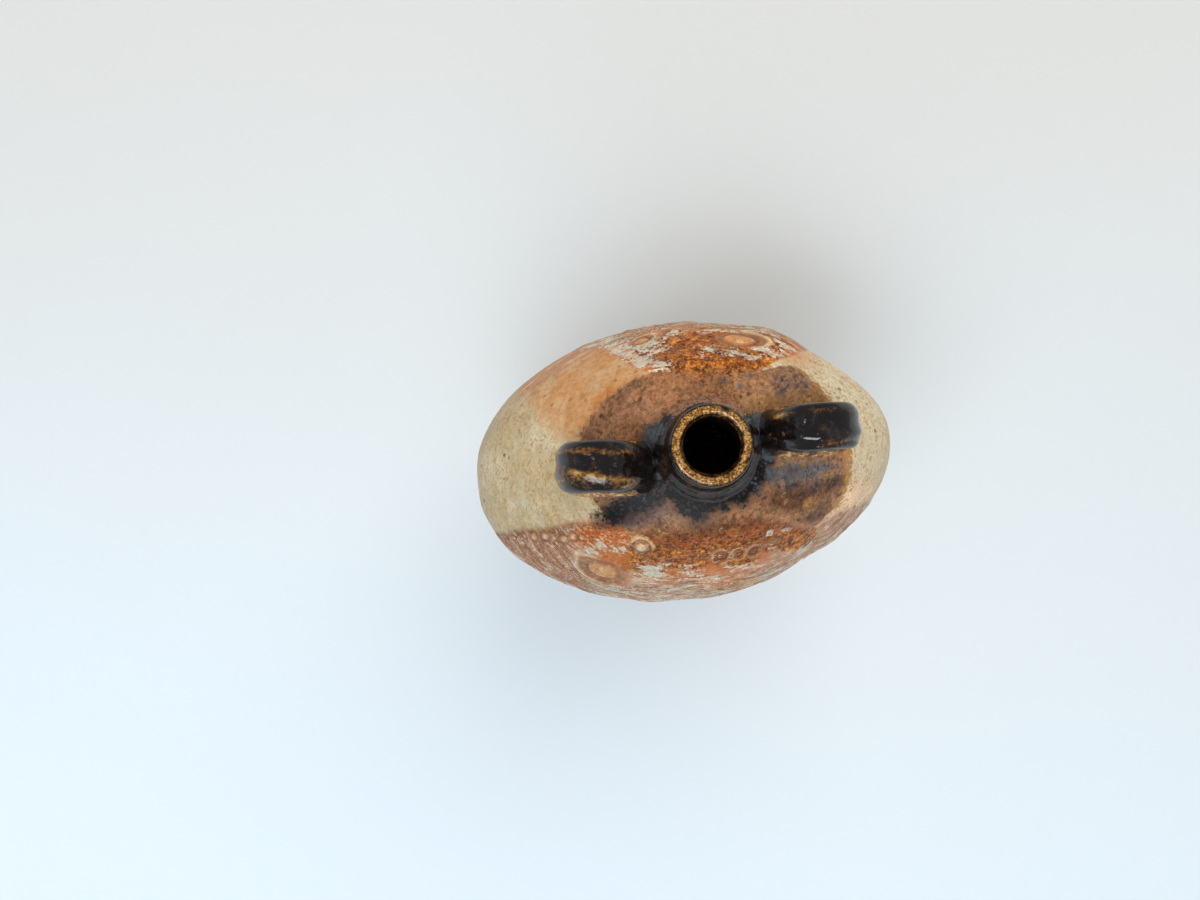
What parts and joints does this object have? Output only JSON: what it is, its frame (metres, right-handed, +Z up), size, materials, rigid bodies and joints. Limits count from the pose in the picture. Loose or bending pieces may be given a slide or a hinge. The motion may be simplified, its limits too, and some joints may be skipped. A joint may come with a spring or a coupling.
{
  "type": "amphora vase",
  "caption": "Oval stoneware amphora vase with a narrow rolled-rim neck and a pulled loop lug on each shoulder, to hold water and a few stems.",
  "frame": {"origin": "on the standing surface, under the middle of the body's width and depth", "axes": "+Z up; +X along the oval's long axis, from the left lug to the right lug; +Y to the back face"},
  "size_m": [0.168, 0.1144, 0.19],
  "materials": {
    "bare_clay": "unglazed, dry, toasted brown",
    "stoneware_wall": "wood-fired stoneware, buff to rust, satin",
    "flashed_shoulder": "wood-fired stoneware, buff ends, orange flashing, brown iron wash at the neck",
    "luting_clay": "unglazed, smeared by finger",
    "iron_glaze": "glossy black iron glaze breaking to gold on edges"
  },
  "bodies": {
    "root": {"base_slab": "bare_clay", "lower_body": "stoneware_wall", "upper_body": "flashed_shoulder", "base_seam_coil": "luting_clay", "belly_seam_coil": "luting_clay", "neck": "iron_glaze", "neck_luting_coil": "iron_glaze", "left_lug": "iron_glaze", "left_lug_pad": "iron_glaze", "right_lug": "iron_glaze", "right_lug_pad": "iron_glaze"}
  },
  "joints": []
}
